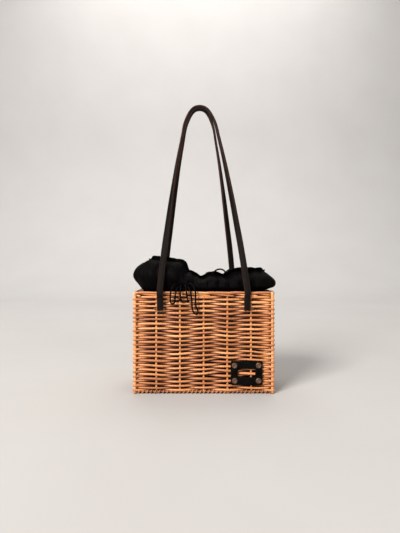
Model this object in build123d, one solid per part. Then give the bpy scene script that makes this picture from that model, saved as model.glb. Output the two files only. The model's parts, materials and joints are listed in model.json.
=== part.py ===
"""A woven box bag: a rectangular willow basket with a gathered cloth lining,
two leather shoulder straps and a riveted leather frame on its front.

Millimetres. +Z is up, -Y is the front, and the origin is on the ground at the
middle of the basket's footprint.
"""

import os
from math import pi, radians, sin, tan

from build123d import *

# ---- willow basket -------------------------------------------------------
basket_width = 240.0
basket_depth = 112.0
basket_height = 175.0
wall_thickness = 9.0
corner_radius = 9.0
base_thickness = 7.0
border_height = 10.0
border_round = 3.0
stake_diameter = 3.4
post_diameter = 6.0
rod_clearance = 0.1
stake_socket_depth = 4.5
post_inset = 5.3
front_stake_spacing = 40.4
front_stake_count = 5
side_stake_spacing = 34.0
side_stake_count = 2

# ---- cloth lining --------------------------------------------------------
lining_gap = 1.8
lining_floor_gap = 0.3
lining_thickness = 1.0
lining_corner_radius = 4.0
collar_side_gap = 8.5
collar_corner_radius = 18.0
gather_at_ends = 23.2
gather_at_front = 18.5
mouth_corner_radius = 14.0
collar_root = 3.0
collar_rim_gap = 0.4
collar_left_top = 59.0
collar_left_dip = 35.0
collar_middle_top = 29.0
collar_right_top = 38.0
collar_overhang = 1.0
drawstring_diameter = 2.8
drawstring_channel_diameter = 5.0
drawstring_height = 9.5
drawstring_corner_radius = 12.0

# ---- leather straps ------------------------------------------------------
strap_width = 11.0
strap_thickness = 4.5
strap_wall_gap = 0.75
strap_end_drop = 30.0
strap_kink_rise = 4.0
strap_rise = 345.0
strap_apex_x = -7.0
front_strap_half_span = 73.7
back_strap_half_span = 68.0
back_strap_shift = -9.0
front_strap_apex_y = 30.0
back_strap_apex_y = 43.0
strap_spans = 4
strap_steps_per_span = 7
strap_twist_power = 1.3
lashing_diameter = 1.7
lashing_bore_clearance = 0.08
lashing_leg_clearance = 0.2
lashing_side_gap = 2.2
lashing_stake_gap = 1.9
lashing_bend_radius = 1.1

# ---- leather frame and rivets on the front -------------------------------
patch_width = 53.6
patch_height = 40.8
patch_thickness = 2.4
patch_corner_radius = 2.0
patch_window_width = 29.6
patch_window_height = 13.7
patch_window_radius = 1.5
patch_side_margin = 20.6
patch_bottom_margin = 15.7
rivet_side_margin = 6.55
rivet_edge_margin = 7.45
rivet_cap_diameter = 9.9
rivet_cap_height = 1.8
rivet_ring_radius = 2.6
rivet_ring_depth = 0.5
rivet_post_diameter = 3.2
rivet_hole_clearance = 0.1
washer_diameter = 8.0
washer_thickness = 1.1

# ---- bow -----------------------------------------------------------------
bow_knot_radius = 4.9
bow_knot_x = -36.0
bow_knot_setback = 12.0
bow_lead_spacing = 4.4
bow_lead_clearance = 0.3
bow_lead_diameter = 2.0
end_knot_radius = 2.8
end_knot_overlap = 1.0
# Routes of the free stretches of the drawstring. Each point is x, the distance
# behind a front face and the height above the rim: the collar's front for the
# slack, and the basket's front for the strands of the bow.
slack_route = [
    (15.0, 8.5, 26.0),
    (18.0, 7.5, 32.3),
    (24.0, 6.5, 36.6),
    (31.5, 6.5, 37.2),
    (37.5, 7.5, 33.5),
    (41.5, 8.5, 27.5),
]
bow_routes = {
    "bow_loop_left": [
        (-38.5, 10.7, 11.0),
        (-45.5, 4.0, 13.0),
        (-51.5, -3.8, 9.5),
        (-55.5, -7.5, -0.5),
        (-56.6, -6.2, -11.0),
        (-56.0, -6.0, -20.6),
        (-49.3, -6.0, -21.4),
        (-48.2, -6.1, -12.5),
        (-47.4, -6.9, -3.5),
        (-44.4, -2.0, 7.2),
        (-38.4, 10.6, 7.9),
    ],
    "bow_loop_right": [
        (-33.5, 10.7, 11.0),
        (-25.5, 4.5, 13.5),
        (-18.0, -3.8, 10.0),
        (-13.9, -7.5, -0.5),
        (-13.4, -6.3, -10.5),
        (-14.2, -6.0, -20.0),
        (-12.6, -6.0, -28.0),
        (-8.9, -6.0, -34.6),
        (-12.4, -6.0, -40.2),
        (-17.6, -6.0, -35.4),
        (-19.9, -6.0, -28.0),
        (-19.9, -6.0, -20.0),
        (-20.4, -6.3, -11.0),
        (-21.6, -7.0, -2.0),
        (-26.4, -2.0, 7.6),
        (-33.6, 10.6, 7.9),
    ],
    "bow_end_left": [
        (-37.2, 9.5, 9.3),
        (-38.4, 1.5, 11.3),
        (-39.0, -5.3, 6.3),
        (-39.8, -7.0, -3.2),
        (-39.3, -6.0, -12.7),
    ],
    "bow_end_right": [
        (-34.8, 9.5, 9.3),
        (-32.6, 1.5, 11.3),
        (-30.6, -5.3, 6.3),
        (-28.9, -7.0, -4.0),
        (-26.6, -6.0, -15.2),
    ],
}

front_y = -basket_depth / 2
inner_width = basket_width - 2 * wall_thickness
inner_depth = basket_depth - 2 * wall_thickness
neck_width = inner_width - 2 * lining_gap - 2 * lining_thickness
collar_depth = inner_depth - 2 * collar_side_gap
mouth_width = neck_width - 2 * gather_at_ends
mouth_depth = collar_depth - 2 * gather_at_front
wall_middle_x = basket_width / 2 - wall_thickness / 2
wall_middle_y = basket_depth / 2 - wall_thickness / 2
border_bottom = basket_height - border_height
strap_hinge_z = basket_height - strap_end_drop
strap_offset = basket_depth / 2 + strap_wall_gap + strap_thickness / 2
patch_centre_x = basket_width / 2 - patch_side_margin - patch_width / 2
patch_centre_z = patch_bottom_margin + patch_height / 2
rivet_reach_x = patch_width / 2 - rivet_side_margin
rivet_reach_z = patch_height / 2 - rivet_edge_margin
bow_origin = (0.0, front_y, basket_height)
slack_origin = (0.0, -collar_depth / 2, basket_height)
bow_knot_centre = (bow_knot_x, front_y + bow_knot_setback, basket_height + drawstring_height)
rivet_places = [
    (patch_centre_x + sx * rivet_reach_x, patch_centre_z + sz * rivet_reach_z)
    for sx in (-1, 1)
    for sz in (-1, 1)
]


def rounded_block(width, depth, radius, bottom, top):
    """An upright block with rounded corners, centred on the origin's axis."""
    plan = Plane.XY.offset(bottom) * RectangleRounded(width, depth, radius)
    return extrude(plan, top - bottom)


def rod(x, y, diameter, bottom, top):
    """An upright round rod."""
    place = Pos(x, y, bottom)
    return place * Cylinder(
        diameter / 2, top - bottom, align=(Align.CENTER, Align.CENTER, Align.MIN)
    )


def along_y(x, z, radius, start, end):
    """A round rod parallel to Y from y = start to y = end."""
    low = min(start, end)
    length = abs(end - start)
    turned = Pos(x, low, z) * Rot(-90, 0, 0)
    return turned * Cylinder(radius, length, align=(Align.CENTER, Align.CENTER, Align.MIN))


def stake_places():
    """Name and place of every thin upright stake."""
    half_front = (front_stake_count - 1) / 2
    half_side = (side_stake_count - 1) / 2
    places = {}
    for i in range(front_stake_count):
        x = (i - half_front) * front_stake_spacing
        places[f"stake_front_{i + 1}"] = (x, -wall_middle_y)
        places[f"stake_back_{i + 1}"] = (x, wall_middle_y)
    for i in range(side_stake_count):
        y = (i - half_side) * side_stake_spacing
        places[f"stake_left_{i + 1}"] = (-wall_middle_x, y)
        places[f"stake_right_{i + 1}"] = (wall_middle_x, y)
    return places


def post_places():
    """Name and place of the four thick corner posts."""
    x = basket_width / 2 - post_inset
    y = basket_depth / 2 - post_inset
    return {
        "corner_post_front_left": (-x, -y),
        "corner_post_front_right": (x, -y),
        "corner_post_back_left": (-x, y),
        "corner_post_back_right": (x, y),
    }


rod_bottom = base_thickness - stake_socket_depth
rod_top = border_bottom + stake_socket_depth


def rod_channels():
    """The sockets and channels that all the uprights stand in."""
    cuts = [
        rod(x, y, stake_diameter + 2 * rod_clearance, rod_bottom, rod_top)
        for x, y in stake_places().values()
    ]
    cuts += [
        rod(x, y, post_diameter + 2 * rod_clearance, rod_bottom, rod_top)
        for x, y in post_places().values()
    ]
    return cuts


def strap_ends():
    """Every strap end: its name, the x of its middle and its wall, -1 front and 1 back."""
    ends = {}
    for side, word in ((-1, "left"), (1, "right")):
        ends[f"front_{word}"] = (side * front_strap_half_span, -1)
        ends[f"back_{word}"] = (back_strap_shift + side * back_strap_half_span, 1)
    return ends


def lashing_legs(centre):
    """x of the two legs of a lashing, moved out past a stake that they would run into."""
    clear = (stake_diameter + lashing_diameter) / 2 + lashing_stake_gap / 2
    outermost = (front_stake_count - 1) / 2
    stakes = [(i - outermost) * front_stake_spacing for i in range(front_stake_count)]
    legs = []
    for side in (-1, 1):
        leg = centre + side * (strap_width / 2 + lashing_side_gap)
        for stake in stakes:
            if abs(leg - stake) < clear:
                leg = stake + side * clear
        legs.append(leg)
    return legs


def wall_holes():
    """Holes through the walls for the lashings and the rivets."""
    holes = []
    leg_radius = lashing_diameter / 2 + lashing_leg_clearance
    for centre, wall in strap_ends().values():
        outside = wall * (basket_depth / 2 + 1)
        inside = wall * (inner_depth / 2 - 1)
        for x in lashing_legs(centre):
            holes.append(along_y(x, strap_hinge_z, leg_radius, outside, inside))
    post_radius = rivet_post_diameter / 2 + rivet_hole_clearance
    for x, z in rivet_places:
        holes.append(along_y(x, z, post_radius, front_y - 1, -inner_depth / 2 + 1))
    return holes


def make_base():
    """The woven floor of the basket, with a socket for each upright."""
    block = rounded_block(basket_width, basket_depth, corner_radius, 0, base_thickness)
    return block - rod_channels()


def make_side_weave():
    """The woven wall as one ring, open at the top and standing on the floor."""
    outside = rounded_block(
        basket_width, basket_depth, corner_radius, base_thickness, border_bottom
    )
    inside = rounded_block(
        inner_width, inner_depth, lining_corner_radius, base_thickness - 1, border_bottom + 1
    )
    return outside - inside - rod_channels() - wall_holes()


def make_border():
    """The border where the uprights turn down and lock the top edge."""
    outside = rounded_block(
        basket_width, basket_depth, corner_radius, border_bottom, basket_height
    )
    outside = fillet(outside.edges().group_by(Axis.Z)[-1], border_round)
    inside = rounded_block(
        inner_width, inner_depth, lining_corner_radius, border_bottom - 1, basket_height + 1
    )
    return outside - inside - rod_channels()


def make_lining_bag():
    """The sewn lining inside the basket, open at the top."""
    width = inner_width - 2 * lining_gap
    depth = inner_depth - 2 * lining_gap
    bottom = base_thickness + lining_floor_gap
    top = basket_height - collar_root
    outside = rounded_block(width, depth, lining_corner_radius, bottom, top)
    inside = rounded_block(
        width - 2 * lining_thickness,
        depth - 2 * lining_thickness,
        lining_corner_radius - lining_thickness,
        bottom + lining_thickness,
        top + 1,
    )
    return outside - inside


def collar_outline():
    """The gathered collar as seen from the front: puffed at the left, dipping at the middle."""
    rim = basket_height + collar_rim_gap
    edge = basket_width / 2 + collar_overhang
    root = basket_height - collar_root
    neck = neck_width / 2
    top = [
        (-neck, rim),
        (-edge + 8, rim + 10),
        (-edge, rim + 26),
        (-edge + 12, rim + 46),
        (-edge + 27, rim + collar_left_top),
        (-60, rim + collar_left_top - 3),
        (-33, rim + collar_left_top - 12),
        (-22, rim + collar_left_dip - 1),
        (-4, rim + collar_middle_top - 5),
        (12, rim + collar_middle_top),
        (30, rim + collar_middle_top),
        (52, rim + collar_right_top - 3),
        (76, rim + collar_right_top),
        (edge - 18, rim + collar_right_top - 1),
        (edge - 5, rim + 25),
        (edge, rim + 10),
        (neck, rim),
    ]
    upper = Spline(*top)
    lower = Polyline((neck, rim), (neck, root), (-neck, root), (-neck, rim))
    return make_face([upper, lower])


def drawstring_plan():
    """Width and depth of the drawstring's route, midway in the gathered cloth."""
    return (mouth_width + neck_width) / 2, (mouth_depth + collar_depth) / 2


def ring_tube(diameter):
    """A round tube along the drawstring's closed route inside the collar."""
    width, depth = drawstring_plan()
    plan = Plane.XY.offset(basket_height + drawstring_height)
    path = (plan * RectangleRounded(width, depth, drawstring_corner_radius)).face().outer_wire()
    section = Plane(origin=path @ 0, z_dir=path % 0) * Circle(diameter / 2)
    return sweep(section, path=path)


def drawstring_leads(diameter, front_end):
    """The two short stretches of drawstring that come out of the collar to the bow."""
    ring_y = -drawstring_plan()[1] / 2
    knot_x = bow_knot_centre[0]
    height = basket_height + drawstring_height
    return [
        along_y(knot_x + side * bow_lead_spacing / 2, height, diameter / 2, ring_y, front_end)
        for side in (-1, 1)
    ]


def bow_knot():
    """The knot at the middle of the bow."""
    return Pos(*bow_knot_centre) * Sphere(bow_knot_radius)


def make_drawstring():
    """The drawstring: a closed ring in its casing, and two leads that end in the knot."""
    leads = drawstring_leads(bow_lead_diameter, bow_knot_centre[1])
    return ring_tube(drawstring_diameter) + leads - bow_knot()


def make_collar():
    """The gathered cloth collar that stands out of the basket, with its drawstring casing."""
    root = basket_height - collar_root
    ceiling = basket_height + collar_left_top + 20
    edge_width = basket_width + 2 * collar_overhang
    block = rounded_block(edge_width, collar_depth, collar_corner_radius, root, ceiling)
    mouth = rounded_block(mouth_width, mouth_depth, mouth_corner_radius, root - 1, ceiling + 1)
    profile = extrude(Plane.XZ * collar_outline(), collar_depth, both=True)
    casing = ring_tube(drawstring_channel_diameter)
    leads = drawstring_leads(drawstring_diameter + 2 * bow_lead_clearance, -collar_depth / 2 - 1)
    return (block & profile) - mouth - casing - leads


def strap_curve(centre, half_span, apex_y, wall):
    """Points along a strap from the left rim over its highest point to the right rim."""
    kink_z = basket_height + strap_kink_rise
    rise = strap_rise - strap_kink_rise
    start_y = wall * strap_offset
    shape = [
        (1.0, 0.0),
        (0.90, 0.20),
        (0.822, 0.325),
        (0.71, 0.50),
        (0.585, 0.675),
        (0.465, 0.815),
        (0.38, 0.905),
        (0.205, 0.98),
    ]

    def point(side, u, v):
        middle = centre + (strap_apex_x - centre) * v
        return (middle + side * half_span * u, start_y + (apex_y - start_y) * v, kink_z + rise * v)

    left = [point(-1, u, v) for u, v in shape]
    right = [point(1, u, v) for u, v in reversed(shape)]
    return left + [point(0, 0, 1)] + right


def make_strap(centre, half_span, apex_y, wall):
    """A flat leather strap that rises from both ends and turns a quarter towards its top."""
    points = strap_curve(centre, half_span, apex_y, wall)
    path = Spline(*points, tangents=(Vector(0, 0, 1), Vector(0, 0, -1)))
    face_out = Vector(0, wall, 0)
    last = strap_spans * strap_steps_per_span
    sections = []
    for i in range(last + 1):
        share = i / last
        along = path % share
        width_way = along.cross(face_out).normalized()
        raised = 1 - abs(1 - 2 * share)
        side = 1 if share <= 0.5 else -1
        turn = side * wall * 90 * sin(pi / 2 * raised) ** strap_twist_power
        turned = width_way.rotate(Axis((0, 0, 0), along), turn) * side
        plane = Plane(origin=path @ share, x_dir=turned, z_dir=along)
        sections.append(plane * Rectangle(strap_width, strap_thickness))
    starts = range(0, last, strap_steps_per_span)
    spans = [loft(sections[i : i + strap_steps_per_span + 1]) for i in starts]
    strap = spans[0].fuse(*spans[1:])
    kink_z = basket_height + strap_kink_rise
    y = wall * strap_offset
    for side in (-1, 1):
        x = centre + side * half_span
        leg = Pos(x, y, strap_hinge_z) * Box(
            strap_width,
            strap_thickness,
            kink_z - strap_hinge_z,
            align=(Align.CENTER, Align.CENTER, Align.MIN),
        )
        bore = lashing_diameter / 2 + lashing_bore_clearance
        pivot = Pos(x, y, strap_hinge_z) * Rot(0, 90, 0)
        end = pivot * Cylinder(strap_thickness / 2, strap_width)
        strap = strap + leg + end - pivot * Cylinder(bore, strap_width + 2)
    return strap


def make_lashing(centre, wall):
    """A closed loop of waxed thread through a strap's end and round the inside of the wall."""
    low, high = lashing_legs(centre)
    inner_y = inner_depth / 2 - lining_gap / 2
    width = high - low
    depth = strap_offset - inner_y
    place = Pos((low + high) / 2, wall * (strap_offset + inner_y) / 2, strap_hinge_z)
    path = (place * RectangleRounded(width, depth, lashing_bend_radius)).face().outer_wire()
    section = Plane(origin=path @ 0, z_dir=path % 0) * Circle(lashing_diameter / 2)
    return sweep(section, path=path)


def make_patch():
    """The black leather frame, with its window and four rivet holes."""
    plan = Plane.XZ * RectangleRounded(patch_width, patch_height, patch_corner_radius)
    window = Plane.XZ * RectangleRounded(patch_window_width, patch_window_height, patch_window_radius)
    place = Pos(patch_centre_x, front_y, patch_centre_z)
    frame = place * extrude(plan - window, patch_thickness)
    hole = rivet_post_diameter / 2 + rivet_hole_clearance
    holes = [
        along_y(x, z, hole, front_y - patch_thickness - 1, front_y + 1) for x, z in rivet_places
    ]
    return frame - holes


def make_rivet(x, z):
    """A rivet: a shallow cap with a sunk ring, and a post through the leather and the wall."""
    seat_y = front_y - patch_thickness
    cap = Pos(x, seat_y, z) * Rot(90, 0, 0) * Cone(
        rivet_cap_diameter / 2,
        rivet_cap_diameter / 2 - rivet_cap_height,
        rivet_cap_height,
        align=(Align.CENTER, Align.CENTER, Align.MIN),
    )
    dish = along_y(
        x,
        z,
        rivet_ring_radius,
        seat_y - rivet_cap_height - 1,
        seat_y - rivet_cap_height + rivet_ring_depth,
    )
    post_end = -inner_depth / 2 + washer_thickness
    post = along_y(x, z, rivet_post_diameter / 2, seat_y, post_end)
    return cap - dish + post


def make_washer(x, z):
    """The plain washer that a rivet's post is peened over inside the basket."""
    inside = -inner_depth / 2
    disc = along_y(x, z, washer_diameter / 2, inside, inside + washer_thickness)
    return disc - along_y(x, z, rivet_post_diameter / 2, inside - 1, inside + washer_thickness + 1)


def cord_path(points):
    """Straight runs joined by tangent arcs, each as large as its two runs allow."""
    corners = [Vector(*p) for p in points]
    radii = []
    for before, corner, after in zip(corners, corners[1:], corners[2:]):
        run_in = corner - before
        run_out = after - corner
        half_turn = radians(run_in.get_angle(run_out)) / 2
        radii.append(0.45 * min(run_in.length, run_out.length) / tan(half_turn))
    return FilletPolyline(*corners, radius=radii), radii


def placed(points, origin):
    """A route's points moved from its own origin to their place on the bag."""
    return [(x + origin[0], y + origin[1], z + origin[2]) for x, y, z in points]


def make_cord(name, points, origin):
    """One free stretch of the drawstring as a round tube along its route."""
    path, radii = cord_path(placed(points, origin))
    section = Plane(origin=path @ 0, z_dir=path % 0) * Circle(drawstring_diameter / 2)
    tube = sweep(section, path=path)
    print(name, "length", round(path.length, 1), "radii", [round(r, 1) for r in radii])
    print(name, "volume over section times length", round(tube.volume / section.area / path.length, 4))
    return tube


def end_knot(name):
    """The small knot that stops the end of a strand of the bow."""
    x, y, z = placed(bow_routes[name], bow_origin)[-1]
    return Pos(x, y, z - end_knot_radius + end_knot_overlap) * Sphere(end_knot_radius)


def save(shape, node):
    """Write one sub-part to its file."""
    export_step(shape, f"parts/{node}.step")


os.makedirs("parts", exist_ok=True)
save(make_base(), "base")
save(make_side_weave(), "side_weave")
save(make_border(), "border")
for name, (x, y) in stake_places().items():
    save(rod(x, y, stake_diameter, rod_bottom, rod_top), name)
for name, (x, y) in post_places().items():
    save(rod(x, y, post_diameter, rod_bottom, rod_top), name)
save(make_lining_bag(), "lining")
collar = make_collar()
save(collar, "collar")
save(make_drawstring(), "drawstring")
save(make_cord("drawstring_slack", slack_route, slack_origin) - collar, "drawstring_slack")
save(bow_knot(), "bow_knot")
for name in ("bow_loop_left", "bow_loop_right"):
    save(make_cord(name, bow_routes[name], bow_origin) - bow_knot(), name)
for name in ("bow_end_left", "bow_end_right"):
    save(make_cord(name, bow_routes[name], bow_origin) - bow_knot() - end_knot(name), name)
    save(end_knot(name), f"{name}_knot")
save(make_strap(0.0, front_strap_half_span, front_strap_apex_y, -1), "strap_front")
save(make_strap(back_strap_shift, back_strap_half_span, back_strap_apex_y, 1), "strap_back")
for name, (centre, wall) in strap_ends().items():
    save(make_lashing(centre, wall), f"lashing_{name}")
save(make_patch(), "leather_frame")
save(Compound(children=[make_rivet(x, z) for x, z in rivet_places]), "frame_rivets")
save(Compound(children=[make_washer(x, z) for x, z in rivet_places]), "frame_washers")
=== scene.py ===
"""Looks of the woven willow box bag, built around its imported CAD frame.

Metres, in the frame's own axes: X across the width, -Y the front, Z up.
"""

import json
import math
import random

import bmesh
import bpy
from mathutils import Matrix, Vector, noise


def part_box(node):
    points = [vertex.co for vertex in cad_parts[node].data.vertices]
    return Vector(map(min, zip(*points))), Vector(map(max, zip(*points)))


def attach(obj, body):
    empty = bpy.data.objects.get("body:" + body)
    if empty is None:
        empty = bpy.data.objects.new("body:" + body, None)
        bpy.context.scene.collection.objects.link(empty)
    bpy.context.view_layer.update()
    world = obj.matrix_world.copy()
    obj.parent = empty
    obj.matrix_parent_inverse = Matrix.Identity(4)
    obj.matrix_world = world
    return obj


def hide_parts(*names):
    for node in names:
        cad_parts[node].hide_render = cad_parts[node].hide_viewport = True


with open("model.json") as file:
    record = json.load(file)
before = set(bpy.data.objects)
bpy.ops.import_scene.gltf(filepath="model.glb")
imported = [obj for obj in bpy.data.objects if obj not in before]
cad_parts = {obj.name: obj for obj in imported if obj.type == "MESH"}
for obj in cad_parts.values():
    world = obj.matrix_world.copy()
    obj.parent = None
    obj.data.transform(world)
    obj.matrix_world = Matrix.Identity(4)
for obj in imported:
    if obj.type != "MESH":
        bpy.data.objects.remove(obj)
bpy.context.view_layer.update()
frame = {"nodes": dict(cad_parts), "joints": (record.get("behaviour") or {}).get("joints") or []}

MM = 0.001
UP = Vector((0, 0, 1))
SEED = 7

low_border, high_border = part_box("border")
RIM = high_border.z
BORDER_BOTTOM = low_border.z
HALF_WIDTH = high_border.x
HALF_DEPTH = high_border.y


# ---------------------------------------------------------------- small tools


def centre(node):
    """The middle of a CAD node's box."""
    low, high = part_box(node)
    return (low + high) / 2


def blend(a, b, t):
    """A value or point between a and b."""
    return a + (b - a) * t


def smooth(t):
    """0 to 1 with level ends, for t from 0 to 1."""
    t = min(1.0, max(0.0, t))
    return t * t * (3 - 2 * t)


def hump(x, at, width):
    """1 where x is at the given place, falling to 0 within a few widths."""
    return math.exp(-(((x - at) / width) ** 2))


def through(stops, x):
    """The value at x of a smooth line through (x, value) stops in rising x."""
    if x <= stops[0][0]:
        return stops[0][1]
    for i in range(len(stops) - 1):
        (x0, v0), (x1, v1) = stops[i], stops[i + 1]
        if x <= x1:
            xa, va = stops[max(0, i - 1)]
            xb, vb = stops[min(len(stops) - 1, i + 2)]
            span = x1 - x0
            leave = (v1 - va) / (x1 - xa) * span
            arrive = (vb - v0) / (xb - x0) * span
            return hermite(v0, v1, leave, arrive, (x - x0) / span)
    return stops[-1][1]


def wander(x, y=0.0, z=0.0):
    """Smooth noise from about -1 to 1."""
    return noise.noise(Vector((x, y, z)))


def finish_piece(name, bm, material, body, replaces=(), cut_end=None):
    """Turns a bmesh into a piece that rides on a body."""
    mesh = bpy.data.meshes.new(name)
    bm.to_mesh(mesh)
    bm.free()
    for face in mesh.polygons:
        face.use_smooth = face.material_index == 0 or not cut_end
    piece = bpy.data.objects.new(name, mesh)
    bpy.context.scene.collection.objects.link(piece)
    mesh.materials.append(material)
    if cut_end:
        mesh.materials.append(cut_end)
    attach(piece, body)
    if replaces:
        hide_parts(*replaces)
    return piece


def give_finish(node, material):
    """Puts a material on a CAD shape that stays in sight."""
    slots = frame["nodes"][node].data.materials
    slots.clear()
    slots.append(material)


def new_rods():
    """An empty bmesh with a UV map in metres along and round each rod, its tint, and the open mask
    for painted shade in the crevices.
    """
    bm = bmesh.new()
    bm.loops.layers.uv.new("grain")
    bm.verts.layers.float.new("tint")
    bm.verts.layers.float.new("open")
    return bm


def mark_painted_shade(bm):
    """Marks how far each point of the willow stands out of the crevices, from 0 to 1: the mask for
    painted shade in the crevices, with the rods at the top of the rim left unshaded as if lit from
    above.
    """
    layer = bm.verts.layers.float["open"]
    for vert in bm.verts:
        outward = max(abs(vert.co.x) - HALF_WIDTH, abs(vert.co.y) - HALF_DEPTH)
        wall = smooth((outward + 6.2 * MM) / (5.2 * MM))
        top = smooth((vert.co.z - RIM + 4.5 * MM) / (4.0 * MM))
        vert[layer] = max(wall, top)


def skin(bm, columns, rows, place, tint=0.0, wrap_u=False, wrap_v=False, uv_size=(1, 1)):
    """A sheet of columns by rows faces whose corners place(u, v) puts in space."""
    made = bmesh.ops.create_grid(bm, x_segments=columns, y_segments=rows, size=1.0)["verts"]
    uv_layer = bm.loops.layers.uv.active
    tint_layer = bm.verts.layers.float.get("tint")
    steps = {}
    for vert in made:
        steps[vert] = (round((vert.co.x + 1) / 2 * columns), round((vert.co.y + 1) / 2 * rows))
    faces = {face for vert in made for face in vert.link_faces}
    if uv_layer:
        for face in faces:
            for loop in face.loops:
                i, j = steps[loop.vert]
                loop[uv_layer].uv = (i / columns * uv_size[0], j / rows * uv_size[1])
    for vert, (i, j) in steps.items():
        u = (i % columns if wrap_u else i) / columns
        v = (j % rows if wrap_v else j) / rows
        vert.co = place(u, v)
        if tint_layer:
            vert[tint_layer] = tint(i / columns, j / rows) if callable(tint) else tint
    if wrap_u or wrap_v:
        bmesh.ops.remove_doubles(bm, verts=made, dist=1e-7)
    return [face for face in faces if face.is_valid]


def tube(bm, points, radii, sides=8, closed=False, tint=0.0, side_way=None):
    """A round rod through points, with a radius at each, closed on itself or cut flat."""
    count = len(points)
    frames = []
    for i, point in enumerate(points):
        before = points[(i - 1) % count] if closed or i else point
        after = points[(i + 1) % count] if closed or i < count - 1 else point
        along = (after - before).normalized()
        across = along.cross(side_way or UP)
        if across.length < 0.3:
            across = along.cross(Vector((0.37, 0.93, 0)))
        across.normalize()
        frames.append((point, across, across.cross(along), radii[i]))
    spans = count if closed else count - 1
    length = sum((b - a).length for a, b in zip(points, points[1:]))

    def place(u, v):
        point, across, rise, radius = frames[round(u * spans) % count]
        angle = v * math.tau
        return point + radius * (math.cos(angle) * across + math.sin(angle) * rise)

    mean = sum(radii) / count
    faces = skin(bm, spans, sides, place, tint, closed, True, (length, math.tau * mean))
    if not closed:
        rims = {edge for face in faces for edge in face.edges if edge.is_boundary}
        for cap in bmesh.ops.holes_fill(bm, edges=list(rims), sides=sides)["faces"]:
            cap.material_index = 1
            cap.smooth = False
    return faces


def hermite(p0, p1, t0, t1, t):
    """A point on the smooth curve from p0 to p1 that leaves along t0 and arrives along t1."""
    a = 2 * t**3 - 3 * t**2 + 1
    b = t**3 - 2 * t**2 + t
    c = -2 * t**3 + 3 * t**2
    d = t**3 - t**2
    return a * p0 + b * t0 + c * p1 + d * t1


# ------------------------------------------------------------------ materials


class Wire:
    """A shader value that turns Python arithmetic into Math nodes."""

    def __init__(self, finish, socket):
        self.finish = finish
        self.socket = socket

    def math(self, operation, *others, clamp=False):
        values = dict(enumerate((self,) + others))
        return self.finish.node("Math", {"operation": operation, "use_clamp": clamp}, values)

    def __add__(self, other):
        return self.math("ADD", other)

    def __radd__(self, other):
        return self.math("ADD", other)

    def __sub__(self, other):
        return self.math("SUBTRACT", other)

    def __mul__(self, other):
        return self.math("MULTIPLY", other)


class Finish:
    """A material under construction, with one way to add any node."""

    def __init__(self, name, **fixed):
        self.material = bpy.data.materials.new(name)
        self.material.use_nodes = True
        self.tree = self.material.node_tree
        self.shader = self.tree.nodes["Principled BSDF"]
        for socket, value in fixed.items():
            self.shader.inputs[socket.replace("_", " ")].default_value = value

    def node(self, kind, settings=None, inputs=None, output=0):
        made = self.tree.nodes.new("ShaderNode" + kind)
        for key, value in (settings or {}).items():
            if key == "stops":
                self.set_stops(made.color_ramp, value)
            else:
                setattr(made, key, value)
        for key, value in (inputs or {}).items():
            self.feed(made.inputs[key], value)
        return Wire(self, made.outputs[output])

    def set_stops(self, ramp, stops):
        while len(ramp.elements) < len(stops):
            ramp.elements.new(0.5)
        for element, (position, colour) in zip(ramp.elements, stops):
            element.position = position
            element.color = (*colour, 1.0)

    def feed(self, socket, value):
        if isinstance(value, Wire):
            self.tree.links.new(value.socket, socket)
        else:
            socket.default_value = value

    def set(self, **sockets):
        for name, value in sockets.items():
            self.feed(self.shader.inputs[name.replace("_", " ")], value)

    def grain_map(self, along, around):
        """The rod's own UV, stretched."""
        uv = self.node("UVMap", {"uv_map": "grain"})
        return self.node("Mapping", None, {"Vector": uv, "Scale": (along, around, 1.0)})

    def place(self, scale=(1.0, 1.0, 1.0)):
        """Object coordinates, scaled."""
        spot = self.node("TexCoord", output=3)
        return self.node("Mapping", None, {"Vector": spot, "Scale": scale})

    def noise(self, vector, scale, detail=3.0, roughness=0.55, distortion=0.0):
        inputs = {"Vector": vector, "Scale": scale, "Detail": detail}
        inputs.update({"Roughness": roughness, "Distortion": distortion})
        return self.node("TexNoise", None, inputs)

    def tint(self):
        return self.node("Attribute", {"attribute_name": "tint"}, output=2)

    def ramp(self, value, stops):
        return self.node("ValToRGB", {"stops": stops}, {0: value})

    def mix(self, factor, a, b, blend_type="MIX"):
        settings = {"data_type": "RGBA", "blend_type": blend_type, "clamp_result": False}
        return self.node("Mix", settings, {0: factor, 6: a, 7: b}, output=2)

    def bump(self, height, distance, strength):
        inputs = {"Height": height, "Distance": distance, "Strength": strength}
        return self.node("Bump", None, inputs)


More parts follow.
